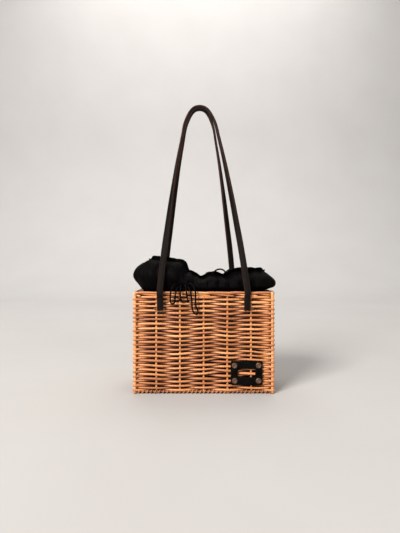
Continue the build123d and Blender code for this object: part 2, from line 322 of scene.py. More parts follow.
def willow(name, brightness=1.0):
    """Stripped willow: honey brown with long streaks, painted shade in the crevices and a satin
    gloss.
    """
    f = Finish(name, Specular_IOR_Level=0.55)
    streaks = f.noise(f.grain_map(14.0, 520.0), 1.0, 4.0, 0.6)
    patches = f.noise(f.grain_map(26.0, 40.0), 1.0, 3.0, 0.6, 0.4)
    flecks = f.noise(f.place(), 420.0, 2.0, 0.5)
    tone = f.tint() * 0.46 + streaks * 0.42 + patches * 0.40 - 0.22
    honey = [
        (0.05, (0.26, 0.080, 0.022)),
        (0.30, (0.44, 0.155, 0.048)),
        (0.55, (0.62, 0.250, 0.086)),
        (0.80, (0.78, 0.390, 0.165)),
        (1.00, (0.90, 0.560, 0.290)),
    ]
    colour = f.ramp(tone, [(at, tuple(c * brightness for c in shade)) for at, shade in honey])
    spots = f.ramp(flecks, [(0.30, (0.50, 0.42, 0.38)), (0.42, (1.0, 1.0, 1.0))])
    # Painted shade: the open mask darkens the colour to near-black brown in the crevices between
    # the rods.
    painted_shade_mask = f.node("Attribute", {"attribute_name": "open"}, output=2)
    shade = [(0.0, (0.10, 0.060, 0.045)), (0.45, (0.42, 0.34, 0.30)), (0.9, (1.0, 1.0, 1.0))]
    painted_shade = f.ramp(painted_shade_mask, shade)
    worn = f.mix(1.0, colour, spots, "MULTIPLY")
    f.set(
        Base_Color=f.mix(1.0, worn, painted_shade, "MULTIPLY"),
        Roughness=0.34 + patches * 0.20,
        Normal=f.bump(streaks * 0.7 + flecks * 0.3, 0.0006, 0.45),
    )
    return f.material


def pith(name):
    """A fresh-cut rod end: pale, dull wood."""
    f = Finish(name, Roughness=0.75)
    rings = f.noise(f.place(), 900.0, 3.0)
    f.set(Base_Color=f.ramp(rings, [(0.3, (0.36, 0.20, 0.09)), (0.7, (0.60, 0.40, 0.21))]))
    return f.material


def strap_leather(name):
    """Smooth dark brown-black strap leather with a fine grain and worn brown edges."""
    f = Finish(name, Specular_IOR_Level=0.06)
    spot = f.place()
    grain = f.node("TexVoronoi", {"feature": "DISTANCE_TO_EDGE"}, {"Vector": spot, "Scale": 900.0})
    creases = f.noise(f.place((1.0, 1.0, 0.25)), 160.0, 4.0, 0.6)
    cloudy = f.noise(spot, 38.0, 3.0)
    body = f.ramp(cloudy, [(0.3, (0.0028, 0.0018, 0.0015)), (0.7, (0.0064, 0.0042, 0.0035))])
    edge = f.ramp(creases, [(0.3, (0.0125, 0.0054, 0.0036)), (0.7, (0.0340, 0.0150, 0.0100))])
    f.set(
        Base_Color=f.mix(f.tint(), body, edge),
        Roughness=0.42 + cloudy * 0.22,
        Normal=f.bump(grain * 2.5 + creases * 0.5, 0.0004, 0.45),
    )
    return f.material


def frame_leather(name):
    """Black leather with a pebbled grain and soft scuffs."""
    f = Finish(name, Specular_IOR_Level=0.045)
    spot = f.place()
    pebbles = f.node("TexVoronoi", {"feature": "F1"}, {"Vector": spot, "Scale": 720.0})
    scuffs = f.noise(spot, 110.0, 5.0, 0.65)
    f.set(
        Base_Color=f.ramp(
            scuffs, [(0.35, (0.0009, 0.0007, 0.0006)), (0.75, (0.0044, 0.0033, 0.0026))]
        ),
        Roughness=0.40 + scuffs * 0.30,
        Normal=f.bump(pebbles, 0.0004, 0.5),
    )
    return f.material


def cotton(name):
    """Black plain-woven cotton with fine wrinkles, a little lighter in cloudy patches."""
    f = Finish(name, Specular_IOR_Level=0.028)
    threads = f.grain_map(6500.0, 6500.0)
    across, along = (
        f.node("SeparateXYZ", None, {"Vector": threads}, output=k).math("SINE") for k in (0, 1)
    )
    cloudy = f.noise(f.place(), 55.0, 4.0, 0.6)
    wrinkles = f.noise(f.grain_map(260.0, 60.0), 1.0, 4.0, 0.6, 0.8)
    f.set(
        Base_Color=f.ramp(
            cloudy, [(0.3, (0.0004, 0.0003, 0.0003)), (0.75, (0.0022, 0.0018, 0.0016))]
        ),
        Roughness=0.42 + cloudy * 0.25,
        Normal=f.bump(across * along * 0.05 + wrinkles, 0.0016, 0.6),
    )
    return f.material


def cord_finish(name):
    """Black twisted cotton cord."""
    f = Finish(name, Specular_IOR_Level=0.035)
    fuzz = f.noise(f.place(), 900.0, 3.0)
    f.set(
        Base_Color=f.ramp(
            fuzz, [(0.3, (0.0008, 0.0007, 0.0007)), (0.75, (0.0036, 0.0031, 0.0030))]
        ),
        Roughness=0.50 + fuzz * 0.25,
        Normal=f.bump(fuzz, 0.0003, 0.6),
    )
    return f.material


def thread_finish(name):
    """Reddish-brown waxed thread."""
    f = Finish(name, Specular_IOR_Level=0.4)
    fuzz = f.noise(f.place(), 1100.0, 3.0)
    f.set(
        Base_Color=f.ramp(fuzz, [(0.3, (0.075, 0.022, 0.012)), (0.7, (0.17, 0.060, 0.030))]),
        Roughness=0.5 + fuzz * 0.2,
        Normal=f.bump(fuzz, 0.0003, 0.6),
    )
    return f.material


def aged_brass(name):
    """Dull aged brass: brown tarnish with brighter worn patches."""
    f = Finish(name, Specular_IOR_Level=0.5)
    tarnish = f.noise(f.place(), 260.0, 5.0, 0.65)
    scratches = f.noise(f.place((1.0, 1.0, 6.0)), 700.0, 3.0)
    brown = [
        (0.30, (0.040, 0.024, 0.016)),
        (0.52, (0.115, 0.078, 0.050)),
        (0.75, (0.26, 0.195, 0.130)),
    ]
    f.set(
        Base_Color=f.ramp(tarnish, brown),
        Metallic=f.ramp(tarnish, [(0.30, (0.55,) * 3), (0.60, (0.95,) * 3)]),
        Roughness=0.44 + tarnish * 0.25 + scratches * 0.08,
        Normal=f.bump(scratches, 0.0002, 0.4),
    )
    return f.material


def rivet_enamel(name):
    """The reddish-brown sunk middle of each rivet."""
    f = Finish(name, Specular_IOR_Level=0.4)
    cloudy = f.noise(f.place(), 500.0, 4.0)
    f.set(
        Base_Color=f.ramp(cloudy, [(0.3, (0.060, 0.020, 0.012)), (0.7, (0.16, 0.062, 0.036))]),
        Roughness=0.45 + cloudy * 0.25,
    )
    return f.material


WILLOW = willow("willow")
WILLOW_BASE = willow("willow_floor", 0.85)
PITH = pith("willow_cut_end")
STRAP = strap_leather("strap_leather")
PATCH = frame_leather("frame_leather")
COTTON = cotton("black_cotton")
CORD = cord_finish("black_cord")
THREAD = thread_finish("waxed_thread")
BRASS = aged_brass("aged_brass")
ENAMEL = rivet_enamel("rivet_middle")


# ------------------------------------------------------------ camera and light

CAMERA_FROM_FRONT = 0.72
CAMERA_SIDE = -0.0063
CAMERA_HEIGHT = 0.2166
SENSOR = 36.0
LENS = 28.6567


def stage():
    """A pale floor that curves up into a wall, far enough back for a view from behind."""
    half = 7.0
    front_y = -6.0
    wall_y = 3.6
    wall_top = 4.6
    bend = 1.6
    bm = bmesh.new()
    profile = [(front_y, 0.0), (wall_y - bend, 0.0)]
    profile += [
        (wall_y - bend + bend * math.sin(a), bend - bend * math.cos(a))
        for a in [math.radians(9 * i) for i in range(1, 10)]
    ]
    profile += [(wall_y, bend), (wall_y, wall_top)]

    def place(u, v):
        y, z = profile[round(v * (len(profile) - 1))]
        return Vector((-half + 2 * half * u, y, z))

    skin(bm, 1, len(profile) - 1, place)
    bmesh.ops.recalc_face_normals(bm, faces=bm.faces)
    mesh = bpy.data.meshes.new("backdrop")
    bm.to_mesh(mesh)
    bm.free()
    for face in mesh.polygons:
        face.use_smooth = True
    backdrop = bpy.data.objects.new("backdrop", mesh)
    f = Finish("pale_plaster", Specular_IOR_Level=0.2)
    cloudy = f.noise(f.place(), 3.0, 3.0)
    # Painted light: the floor and wall are painted lighter from 0.3 m behind onwards, so the far
    # backdrop reads more brightly lit than the floor near the basket.
    near = f.ramp(cloudy, [(0.3, (0.405, 0.389, 0.372)), (0.7, (0.425, 0.410, 0.395))])
    far = f.ramp(cloudy, [(0.3, (0.475, 0.462, 0.450)), (0.7, (0.495, 0.482, 0.470))])
    distance = f.node("SeparateXYZ", None, {"Vector": f.place()}, output=1)
    f.set(
        Base_Color=f.mix((distance - 0.3).math("DIVIDE", 2.0, clamp=True), near, far),
        Roughness=0.85 + cloudy * 0.1,
    )
    mesh.materials.append(f.material)
    bpy.context.scene.collection.objects.link(backdrop)


def lamp(name, spot, target, size, power, colour):
    """A soft square light at spot that faces target."""
    data = bpy.data.lights.new(name, "AREA")
    data.shape = "SQUARE"
    data.size = size
    data.energy = power
    data.color = colour
    lamp_object = bpy.data.objects.new(name, data)
    lamp_object.location = spot
    lamp_object.rotation_euler = (Vector(target) - Vector(spot)).to_track_quat("-Z", "Y").to_euler()
    bpy.context.scene.collection.objects.link(lamp_object)


def lights_and_camera():
    """Soft daylight from the upper left front, weak fills, a wash for the wall, the camera."""
    lamp("window", (-2.4, -3.2, 2.6), (0, 0, 0.2), 1.7, 385.0, (1.0, 0.985, 0.965))
    lamp("fill", (2.4, -2.4, 0.9), (0, 0, 0.2), 2.2, 14.0, (1.0, 0.98, 0.96))
    lamp("back", (0.0, 2.6, 3.6), (0, 2.6, 0.0), 3.2, 112.0, (1.0, 0.985, 0.965))
    lamp("top", (0.4, -0.2, 2.4), (0, 0.1, 0.2), 1.8, 14.0, (1.0, 0.99, 0.98))
    world = bpy.data.worlds.new("room")
    bpy.context.scene.world = world
    world.use_nodes = True
    background = world.node_tree.nodes["Background"]
    background.inputs["Color"].default_value = (0.86, 0.83, 0.80, 1)
    background.inputs["Strength"].default_value = 0.31
    data = bpy.data.cameras.new("camera")
    data.sensor_width = SENSOR
    data.lens = LENS
    camera = bpy.data.objects.new("camera", data)
    camera.location = (CAMERA_SIDE, -HALF_DEPTH - CAMERA_FROM_FRONT, CAMERA_HEIGHT)
    camera.rotation_euler = (math.radians(90), 0, 0)
    bpy.context.scene.collection.objects.link(camera)
    bpy.context.scene.camera = camera
    bpy.context.scene.view_settings.view_transform = "Standard"


# ---------------------------------------------------------------- the weave

FRONT = Vector((0, -1, 0))
RIGHT = Vector((1, 0, 0))
BACK = Vector((0, 1, 0))
LEFT = Vector((-1, 0, 0))


POST_SHIFT = 3.5 * MM


def uprights():
    """Each stake and post round the basket, from the front left corner.

    Gives its place, the way the wall faces there, and whether it is a corner post.
    """
    ring = [("corner_post_front_left", (LEFT + FRONT).normalized())]
    ring += [(f"stake_front_{i}", FRONT) for i in range(1, 6)]
    ring += [("corner_post_front_right", (RIGHT + FRONT).normalized())]
    ring += [(f"stake_right_{i}", RIGHT) for i in (1, 2)]
    ring += [("corner_post_back_right", (RIGHT + BACK).normalized())]
    ring += [(f"stake_back_{i}", BACK) for i in (5, 4, 3, 2, 1)]
    ring += [("corner_post_back_left", (LEFT + BACK).normalized())]
    ring += [(f"stake_left_{i}", LEFT) for i in (2, 1)]
    places = []
    for name, out in ring:
        middle = centre(name)
        is_corner = name.startswith("corner")
        spot = Vector((middle.x, middle.y, 0)) + out * (POST_SHIFT if is_corner else 0.0)
        places.append((spot, out, is_corner))
    return places


UPRIGHTS = uprights()
GAPS = len(UPRIGHTS)
ROWS = 42
STEPS = 9
STAKE_THICK = 3.4 * MM
POST_THICK = 5.4 * MM
WALL_BOTTOM = 4.4 * MM
WALL_TOP = BORDER_BOTTOM + 1.5 * MM
ROW_PITCH = (WALL_TOP - WALL_BOTTOM) / ROWS
STAKE_SIDE = 3.3 * MM
POST_OUTSIDE = 2.1 * MM
POST_INSIDE = 4.6 * MM


def turn_left(way):
    """The way along the wall, anticlockwise seen from above, for a wall that faces way."""
    return Vector((-way.y, way.x, 0))


def upright_rods():
    """The stakes and corner posts that the rods are woven on."""
    draw = random.Random(SEED + 5)
    bm = new_rods()
    for j, (spot, out, is_corner) in enumerate(UPRIGHTS):
        thick = (POST_THICK if is_corner else STAKE_THICK) / 2
        bottom = 1.2 * MM
        top = RIM - (1.8 if is_corner else 6.5) * MM
        points = []
        radii = []
        for i in range(41):
            z = blend(bottom, top, i / 40)
            sway = 0.28 * MM * wander(z * 28, j * 3.1)
            points.append(spot + turn_left(out) * sway + UP * z)
            radii.append(thick * (1 + 0.06 * wander(z * 60, j * 7.7, 4)))
        # Painted light: the stakes get a high tint and none of the painted crevice shade, so their
        # colour stands in for the highlights they catch.
        tube(bm, points, radii, 12, False, 0.80 + 0.45 * draw.random())
    for vert in bm.verts:
        vert[bm.verts.layers.float["open"]] = 1.0
    names = [name for name in frame["nodes"] if name.startswith(("stake_", "corner_post_"))]
    finish_piece("uprights", bm, WILLOW, "basket", names, PITH)


def row_contacts(phase):
    """The points where one row of weaving touches the uprights, with its direction there."""
    contacts = []
    for j, (spot, out, is_corner) in enumerate(UPRIGHTS):
        outside = (j + phase) % 2 == 0
        if not is_corner:
            side = STAKE_SIDE if outside else -STAKE_SIDE
            contacts.append((j, spot + out * side, turn_left(out), 1.0))
        elif outside:
            for k in (-1, 0, 1):
                way = Matrix.Rotation(math.radians(42 * k), 3, "Z") @ out
                contacts.append((j + 0.08 * k, spot + way * POST_OUTSIDE, turn_left(way), 0.24))
        else:
            contacts.append((j, spot - out * POST_INSIDE, turn_left(out), 0.45))
    return contacts


def row_plan(phase):
    """One row as seen from above: (place round the ring in uprights, point), evenly dense."""
    contacts = row_contacts(phase)
    line = []
    for a, b in zip(contacts, contacts[1:] + contacts[:1]):
        q0, p0, way0, pull0 = a
        q1, p1, way1, pull1 = b
        if q1 < q0:
            q1 += GAPS
        reach = (p1 - p0).length
        steps = max(2, round(reach / 40 / MM * STEPS))
        for i in range(steps):
            t = i / steps
            pull_a = way0 * reach * (pull0 if reach > 10 * MM else 1.0)
            pull_b = way1 * reach * (pull1 if reach > 10 * MM else 1.0)
            line.append((blend(q0, q1, t) % GAPS, hermite(p0, p1, pull_a, pull_b, t)))
    return line


def ring_noise(q, row, wave, layer):
    """Smooth noise round the basket that joins up with itself."""
    angle = q / GAPS * math.tau
    reach = GAPS / math.tau / wave
    x = math.cos(angle) * reach + 31.7 * layer
    return wander(x, math.sin(angle) * reach, row * 0.83 + layer * 5.1)


# Where rods lie loosely: place in uprights from the front left corner, row and looseness.
LOOSE_PLACES = [(3.45, 12, 1.9), (3.5, 6, 1.9), (5.4, 18, 1.0), (1.5, 26, 0.8), (4.4, 33, 0.8)]


def row_shares(q):
    """Each row's thickness at q and the height it takes, as shares of the mean, from the bottom."""
    shares = []
    for row in range(ROWS):
        thickness = 1 + 0.30 * ring_noise(q, row * 7.3, 3.0, 0)
        thickness += 0.22 * ring_noise(q, row * 3.1, 1.1, 1)
        slack = 0.0
        for at, k, extra in LOOSE_PLACES:
            near = extra * 0.42 * hump(q, at, 0.34)
            if k == row:
                slack += near
            elif abs(k - row) <= 3:
                thickness -= near / 6
        shares.append((thickness, thickness + slack))
    return shares


def weave():
    """The woven wall: closed rows of rods that pass before and behind alternate uprights."""
    draw = random.Random(SEED)
    bm = new_rods()
    plans = []
    for phase in (0, 1):
        plans.append([(q, flat, row_shares(q)) for q, flat in row_plan(phase)])
    for row in range(ROWS):
        cut = draw.random() * GAPS
        tones = [draw.random() for _ in range(3)]
        points = []
        radii = []
        qs = []
        for q, flat, shares in plans[row % 2]:
            total = sum(space for _, space in shares)
            below = sum(space for _, space in shares[:row]) + shares[row][1] / 2
            height = blend(WALL_BOTTOM, WALL_TOP, below / total)
            lift = 0.45 * MM * ring_noise(q, row * 0.21, 0.9, 2)
            points.append(Vector((flat.x, flat.y, height + lift)))
            radii.append(0.5 * ROW_PITCH * shares[row][0] * ROWS / total * 0.96)
            qs.append(q)

        def tone(u, _):
            q = qs[round(u * len(qs)) % len(qs)]
            return tones[int(((q + cut) % GAPS) / GAPS * 3)]

        tube(bm, points, radii, 8, True, tone)
    # Painted shade in the crevices between the rods of the wall.
    mark_painted_shade(bm)
    finish_piece("woven_wall", bm, WILLOW, "basket", ("side_weave",))


# --------------------------------------------------------------- the border


def open_spline(name, points, order):
    """A curve of one open smooth spline that starts and ends on its end points."""
    curve = bpy.data.curves.new(name, "CURVE")
    curve.dimensions = "3D"
    spline = curve.splines.new("NURBS")
    spline.points.add(len(points) - 1)
    for point, co in zip(spline.points, points):
        point.co = (*co, 1.0)
    spline.order_u = order
    spline.use_endpoint_u = True
    return curve, spline


def eased(points):
    """Closer points on the smooth spline that the given points steer."""
    curve, spline = open_spline("line", points, 4)
    spline.resolution_u = 5
    shown = bpy.data.objects.new("line", curve)
    bpy.context.scene.collection.objects.link(shown)
    bpy.context.view_layer.update()
    mesh = bpy.data.meshes.new_from_object(shown)
    line = [v.co.copy() for v in mesh.vertices]
    bpy.data.objects.remove(shown)
    bpy.data.curves.remove(curve)
    bpy.data.meshes.remove(mesh)
    return line


def border():
    """The border: each upright bends over to the right and runs before, behind and before."""
    draw = random.Random(SEED + 1)
    bm = new_rods()
    for j in range(GAPS):

        def at(k, side, height, ahead=0.0):
            spot, out, is_corner = UPRIGHTS[(j + k) % GAPS]
            if is_corner and ahead > 3:
                out = UPRIGHTS[(j + k + 1) % GAPS][1]
            elif is_corner and side > 0:
                side *= 0.6
            way = out * side + turn_left(out) * ahead + UP * height
            return spot + way * MM + UP * RIM

        wobble = [draw.uniform(-0.35, 0.35) for _ in range(8)]
        line = [
            at(0, 0.0, -16.0),
            at(0, 0.2, -7.5),
            at(0, 1.4, -3.4 + wobble[0], 2.5),
            at(0, 2.6, -2.3 + wobble[1], 9.0),
            at(1, 3.4, -3.0 + wobble[2], 0.0),
            at(1, 2.0, -3.6 + wobble[3], 12.0),
            at(2, -2.8, -4.6 + wobble[4], 0.0),
            at(2, -0.4, -5.6, 16.0),
            at(3, 3.3, -7.3 + wobble[5], 0.0),
            at(3, 2.4, -8.4 + wobble[6], 9.0 + 3 * draw.random()),
        ]
        points = eased(line)
        thick = draw.uniform(1.75, 2.1) * MM
        radii = [blend(thick, thick * 0.82, i / len(points)) for i in range(len(points))]
        tube(bm, points, radii, 10, False, draw.random())
    # Painted shade in the crevices of the border, its top left unshaded.
    mark_painted_shade(bm)
    finish_piece("border_rods", bm, WILLOW, "basket", ("border",), PITH)


# ----------------------------------------------------------------- the floor

FLOOR_STICKS = 9
FLOOR_PITCH = 3.5 * MM


def floor():
    """The floor: long sticks with one thin rod woven to and fro across them."""
    draw = random.Random(SEED + 2)
    bm = new_rods()
    stick = 1.25 * MM
    thin = 1.42 * MM
    side = stick + thin - 0.4 * MM
    middle = side + thin
    reach_y = HALF_DEPTH - 4.0 * MM
    ys = [blend(-reach_y, reach_y, i / (FLOOR_STICKS - 1)) for i in range(FLOOR_STICKS)]
    for y in ys:
        ends = (-HALF_WIDTH + 2.2 * MM, HALF_WIDTH - 2.2 * MM)
        points = [
            Vector((blend(*ends, i / 24), y + 0.3 * MM * wander(i * 0.4, y * 90), middle))
            for i in range(25)
        ]
        tube(bm, points, [stick] * 25, 8, False, draw.random())
    columns = int((2 * HALF_WIDTH - 5 * MM) / FLOOR_PITCH)
    start = -FLOOR_PITCH * (columns - 1) / 2
    points = []
    for c in range(columns):
        x = start + c * FLOOR_PITCH
        order = list(range(FLOOR_STICKS))[:: -1 if c % 2 else 1]
        for place, k in enumerate(order):
            rise = side if (k + c) % 2 == 0 else -side
            drift = 0.25 * MM * wander(c * 0.9, k * 1.7)
            if place:
                previous = order[place - 1]
                points.append(Vector((x + drift, (ys[k] + ys[previous]) / 2, middle)))
            points.append(Vector((x + drift, ys[k], middle + rise)))
        end = ys[order[-1]]
        outwards = 1 if end > 0 else -1
        for share, lift in ((0.25, 0.75), (0.5, 0.0), (0.75, -0.75)):
            bulge = side * (1.0 if share == 0.5 else 0.72)
            points.append(
                Vector((x + FLOOR_PITCH * share, end + outwards * bulge, middle + rise * lift))
            )
    tones = [draw.random() for _ in range(9)]
    tube(
        bm,
        points,
        [thin] * len(points),
        6,
        False,
        lambda u, _: tones[min(8, int(u * 9))],
        side_way=RIGHT,
    )
    # Painted shade: the whole floor gets the same share of the painted crevice shade.
    for vert in bm.verts:
        vert[bm.verts.layers.float["open"]] = 0.75
    finish_piece("woven_floor", bm, WILLOW_BASE, "basket", ("base",), PITH)


# ------------------------------------------------------------ leather straps


STRAP_WIDE = 11.0 * MM
STRAP_THICK = 4.5 * MM
STRAP_TOP_X = -7.0 * MM
STRAP_GIRTH = 0.03
HINGES = {joint["child"]: Vector(joint["pos_m"]) for joint in frame["joints"]}


def strap(name, body, centre_x, half_span, apex_y, wall):
    """One flat strap that lies on the wall and has turned a quarter by the time it peaks.

    centre_x and half_span place its two ends, apex_y its top, and wall is the side in Y.
    """
    low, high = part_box(name)
    hinge_z = HINGES[body].z
    start_y = HINGES[body].y
    top = high.z - STRAP_THICK / 2
    kink = RIM + 4 * MM
    # Each half of the strap above the rim: share of the half span, share of the rise.
    shape = [
        (1.0, 0.0), (0.90, 0.20), (0.822, 0.325), (0.71, 0.50), (0.585, 0.675),
        (0.465, 0.815), (0.38, 0.905), (0.205, 0.98),
    ]

    def point(side, u, v):
        middle = blend(centre_x, STRAP_TOP_X, v)
        x = middle + side * half_span * u
        return Vector((x, blend(start_y, apex_y, v), blend(kink, top, v)))

    foot = [low.z - 0.8 * MM, blend(hinge_z, kink, 0.5)]
    route = [Vector((centre_x - half_span, start_y, z)) for z in foot]
    route += [point(-1, u, v) for u, v in shape]
    route += [point(0, 0, 1)]
    route += [point(1, u, v) for u, v in reversed(shape)]
    route += [Vector((centre_x + half_span, start_y, z)) for z in reversed(foot)]
    points = catmull(route, 10)
    count = len(points)
    bm = new_rods()
    section = strap_section(STRAP_WIDE / 2, STRAP_THICK / 2)
    peak = max(range(count), key=lambda i: points[i].z)
    lengths = [0.0]
    for a, b in zip(points, points[1:]):
        lengths.append(lengths[-1] + (b - a).length)
    kink_at = next(s for s, p in zip(lengths, points) if p.z > kink)
    half_length = lengths[peak] - kink_at
    frames = []
    for i, p in enumerate(points):
        before = points[max(0, i - 1)]
        after = points[min(count - 1, i + 1)]
        along = (after - before).normalized()
        side = 1 if i <= peak else -1
        travelled = lengths[i] - kink_at if i <= peak else lengths[-1] - lengths[i] - kink_at
        raised = min(1.0, max(0.0, travelled / half_length))
        wide = along.cross(Vector((0, wall, 0))).normalized()
        turn = math.radians(side * wall * 90 * math.sin(math.pi / 2 * raised) ** 1.3)
        wide = (Matrix.Rotation(turn, 3, along) @ wide) * side
        frames.append((p, wide, wide.cross(along)))

    def place(u, v):
        p, wide, thick = frames[round(u * (count - 1))]
        a, b, _ = section[round(v * len(section)) % len(section)]
        return p + wide * a + thick * b

    def edge(_, v):
        return section[round(v * len(section)) % len(section)][2]

    faces = skin(bm, count - 1, len(section), place, edge, False, True, (lengths[-1], STRAP_GIRTH))
    edges = {edge for face in faces for edge in face.edges if edge.is_boundary}
    bmesh.ops.holes_fill(bm, edges=list(edges), sides=len(section))
    bmesh.ops.recalc_face_normals(bm, faces=bm.faces)
    finish_piece(name + "_leather", bm, STRAP, body, (name,))


def strap_section(half_w, half_t):
    """The strap's section all round: across, through, and 1 where the edge is worn.

    The edges are rounded and a shallow groove runs along each side of both faces.
    """
    ring = []
    corner = 1.5 * MM
    groove = 0.35 * MM
    groove_at = half_w - 2.3 * MM
    top = [
        (-half_w + corner, 0), (-groove_at - 0.5 * MM, 0), (-groove_at, -groove),
        (-groove_at + 0.5 * MM, 0), (-1.2 * MM, 0.1 * MM), (1.2 * MM, 0.1 * MM),
        (groove_at - 0.5 * MM, 0), (groove_at, -groove), (groove_at + 0.5 * MM, 0),
        (half_w - corner, 0),
    ]
    for a, dip in top:
        ring.append((a, half_t + dip, 0.0))
    ring += rounded_edge(half_w - corner, corner, half_t, 90)
    for a, dip in reversed(top):
        ring.append((a, -half_t - dip, 0.0))
    ring += rounded_edge(corner - half_w, corner, half_t, -90)
    return ring


def rounded_edge(middle, corner, half_t, start):
    """The worn half round of one strap edge, from start degrees on."""
    turns = [math.radians(start - 30 * i) for i in range(1, 6)]
    return [(middle + corner * math.cos(a), half_t * math.sin(a), 1.0) for a in turns]


def catmull(route, steps):
    """Points on a smooth line through a route."""
    line = []
    last = len(route) - 1
    for i in range(last):
        p0 = route[max(0, i - 1)]
        p1 = route[i]
        p2 = route[i + 1]
        p3 = route[min(last, i + 2)]
        for k in range(steps):
            line.append(hermite(p1, p2, (p2 - p0) / 2, (p3 - p1) / 2, k / steps))
    line.append(route[-1])
    return line


# -------------------------------------------------------------------- cords

BOW_ORIGIN = Vector((0.0, -HALF_DEPTH, RIM))
SLACK_ORIGIN = Vector((0.0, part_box("collar")[0].y, RIM))
CORD_WIDE = 2.8 * MM
SLACK_ROUTE = [
    (15.0, 8.5, 26.0), (18.0, 7.5, 32.3), (24.0, 6.5, 36.6),
    (31.5, 6.5, 37.2), (37.5, 7.5, 33.5), (41.5, 8.5, 27.5),
]
BOW_ROUTES = {
    "bow_loop_left": [
        (-38.5, 10.7, 11.0), (-45.5, 4.0, 13.0), (-51.5, -3.8, 9.5), (-55.5, -7.5, -0.5),
        (-56.6, -6.2, -11.0), (-56.0, -6.0, -20.6), (-49.3, -6.0, -21.4), (-48.2, -6.1, -12.5),
        (-47.4, -6.9, -3.5), (-44.4, -2.0, 7.2), (-38.4, 10.6, 7.9),
    ],
    "bow_loop_right": [
        (-33.5, 10.7, 11.0), (-25.5, 4.5, 13.5), (-18.0, -3.8, 10.0), (-13.9, -7.5, -0.5),
        (-13.4, -6.3, -10.5), (-14.2, -6.0, -20.0), (-12.6, -6.0, -28.0), (-8.9, -6.0, -34.6),
        (-12.4, -6.0, -40.2), (-17.6, -6.0, -35.4), (-19.9, -6.0, -28.0), (-19.9, -6.0, -20.0),
        (-20.4, -6.3, -11.0), (-21.6, -7.0, -2.0), (-26.4, -2.0, 7.6), (-33.6, 10.6, 7.9),
    ],
    "bow_end_left": [
        (-37.2, 9.5, 9.3), (-38.4, 1.5, 11.3), (-39.0, -5.3, 6.3), (-39.8, -7.0, -3.2),
        (-39.3, -6.0, -12.7),
    ],
    "bow_end_right": [
        (-34.8, 9.5, 9.3), (-32.6, 1.5, 11.3), (-30.6, -5.3, 6.3), (-28.9, -7.0, -4.0),
        (-26.6, -6.0, -15.2),
    ],
}


BOW_KNOT_RADIUS = 4.9 * MM
END_KNOT_RADIUS = 2.8 * MM


def cord(name, route, origin):
    """One free stretch of the drawstring as a single smooth line."""
    spots = [Vector(spot) * MM + origin for spot in route]
    curve, spline = open_spline(name, spots, 3)
    curve.bevel_depth = CORD_WIDE / 2
    curve.bevel_resolution = 4
    spline.resolution_u = 12
    curve.use_fill_caps = True
    curve.materials.append(CORD)
    piece = bpy.data.objects.new(name + "_cord", curve)
    bpy.context.scene.collection.objects.link(piece)
    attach(piece, "basket")
    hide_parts(name)
    tuple(spots[0])


def knot(name, spot, radius, node):
    """A small overhand knot: a round lump with its turns of cord showing."""
    bm = bmesh.new()
    bmesh.ops.create_uvsphere(bm, u_segments=32, v_segments=20, radius=1.0)
    for vert in bm.verts:
        angle = math.atan2(vert.co.y, vert.co.x)
        turns = math.sin(3 * angle + 5.5 * vert.co.z)
        vert.co *= radius * (0.93 + 0.09 * abs(turns))
        vert.co += spot
    return finish_piece(name, bm, CORD, "basket", (node,))


def cords():
    """The slack over the gathers, and the bow with its knots."""
    cord("drawstring_slack", SLACK_ROUTE, SLACK_ORIGIN)
    knot("bow_middle", centre("bow_knot"), BOW_KNOT_RADIUS, "bow_knot")
    for side in ("left", "right"):
        cord(f"bow_loop_{side}", BOW_ROUTES[f"bow_loop_{side}"], BOW_ORIGIN)
        node = f"bow_end_{side}_knot"
        end = knot(f"bow_tip_{side}", centre(node), END_KNOT_RADIUS, node)
        cord(f"bow_end_{side}", BOW_ROUTES[f"bow_end_{side}"], BOW_ORIGIN)
    give_finish("drawstring", CORD)


# ---------------------------------------------------------- the cloth collar

# How high the gathered cloth stands above the rim along the basket, from left to right.
TOP_LINE = [
    (-101, 55), (-97, 59), (-92, 60.5), (-85, 59), (-70, 57.5), (-55, 56), (-40, 54), (-34, 50.5),
    (-30.5, 42), (-28, 36), (-22, 35), (-13, 30), (-5.4, 25), (0, 26.5), (8, 31), (18, 32.5),
    (28, 30), (36, 28), (42, 31.5), (48, 35.5), (64, 38.5), (79, 39.5), (95, 38.5), (101, 37.5),
    (106, 35.0),
]


def top_height(x):
    """How far the gathered cloth stands above the rim at x."""
    return through([(a * MM, b * MM) for a, b in TOP_LINE], x)


# The cloth's section. Each stop is how far along the cloth from inside the basket to the
# ruffle's edge, its ring's half sizes in X and Y, and its height as a share of the outline's.
COLLAR_RINGS_LEFT = [
    (0.00, 105.0, 41.0, -0.22), (0.06, 106.5, 42.5, -0.05), (0.13, 110.0, 46.5, 0.04),
    (0.20, 115.0, 49.0, 0.18), (0.30, 121.5, 51.0, 0.36), (0.40, 123.5, 50.0, 0.52),
    (0.50, 119.0, 45.0, 0.72), (0.59, 109.0, 36.0, 0.87), (0.67, 100.5, 28.5, 0.90),
    (0.76, 97.0, 27.0, 0.92), (0.85, 97.5, 28.5, 0.99), (0.92, 97.0, 28.5, 1.00),
    (1.00, 95.5, 26.5, 0.92),
]
COLLAR_RINGS_RIGHT = [
    (0.00, 105.0, 41.0, -0.35), (0.06, 106.5, 42.5, -0.08), (0.13, 114.0, 47.5, 0.05),
    (0.22, 125.5, 50.5, 0.18), (0.34, 128.5, 49.0, 0.38), (0.44, 126.0, 45.5, 0.55),
    (0.52, 120.5, 39.5, 0.69), (0.60, 115.0, 32.0, 0.82), (0.66, 112.0, 28.5, 0.87),
    (0.72, 110.5, 27.0, 0.88), (0.80, 109.5, 28.5, 0.94), (0.89, 109.0, 31.5, 1.00),
    (0.95, 108.0, 31.0, 1.00), (1.00, 106.0, 29.0, 0.91),
]
COLLAR_COLUMNS = 560
COLLAR_ROWS = 64
COLLAR_GRAIN_SIZE = (0.66, 0.115)
RUFFLE_HALF_X = 106 * MM
